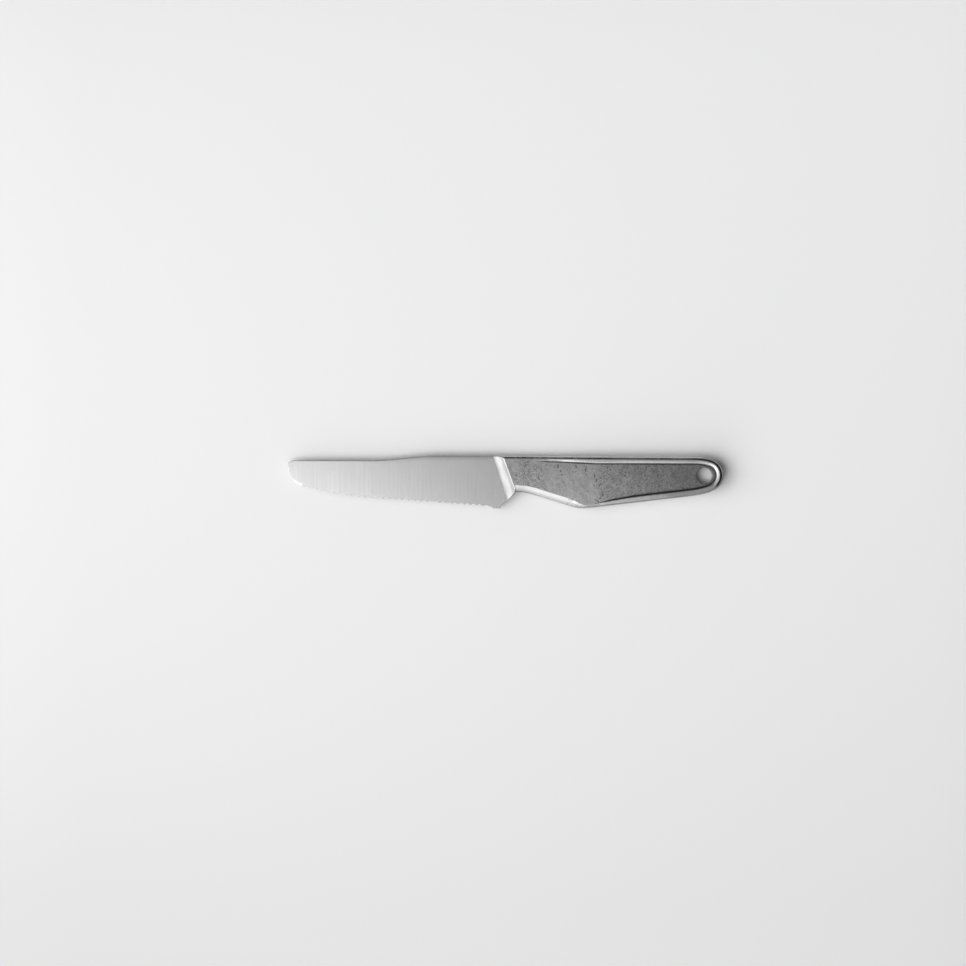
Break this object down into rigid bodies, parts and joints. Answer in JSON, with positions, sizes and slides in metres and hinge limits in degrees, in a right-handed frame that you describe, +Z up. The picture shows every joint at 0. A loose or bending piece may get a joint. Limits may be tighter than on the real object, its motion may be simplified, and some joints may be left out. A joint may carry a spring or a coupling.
{
  "type": "serrated knife",
  "caption": "All-steel serrated knife with a rounded tip, a slanted bolster, and a forged handle framed by rounded rails with a hanging hole at the butt.",
  "frame": {"origin": "bottom centre of the knife's box, on the surface that it lies on", "axes": "+Z up out of the surface, through the blade's face; +X along the knife from the tip to the butt; +Y from the cutting edge to the spine"},
  "size_m": [0.205, 0.0248, 0.0088],
  "materials": {
    "satin_blade": "satin, fine grain across the blade",
    "polished_steel": "fine polish, smooth",
    "rail_steel": "tumbled as-forged border, half bright",
    "forged_skin": "dark as-forged skin with fine pits and scale marks"
  },
  "bodies": {
    "root": {"blade": "satin_blade", "bolster": "polished_steel", "handle_web": "forged_skin", "spine_rail": "rail_steel", "butt_loop": "rail_steel", "belly_rail": "rail_steel", "finger_rail": "polished_steel"}
  },
  "joints": []
}
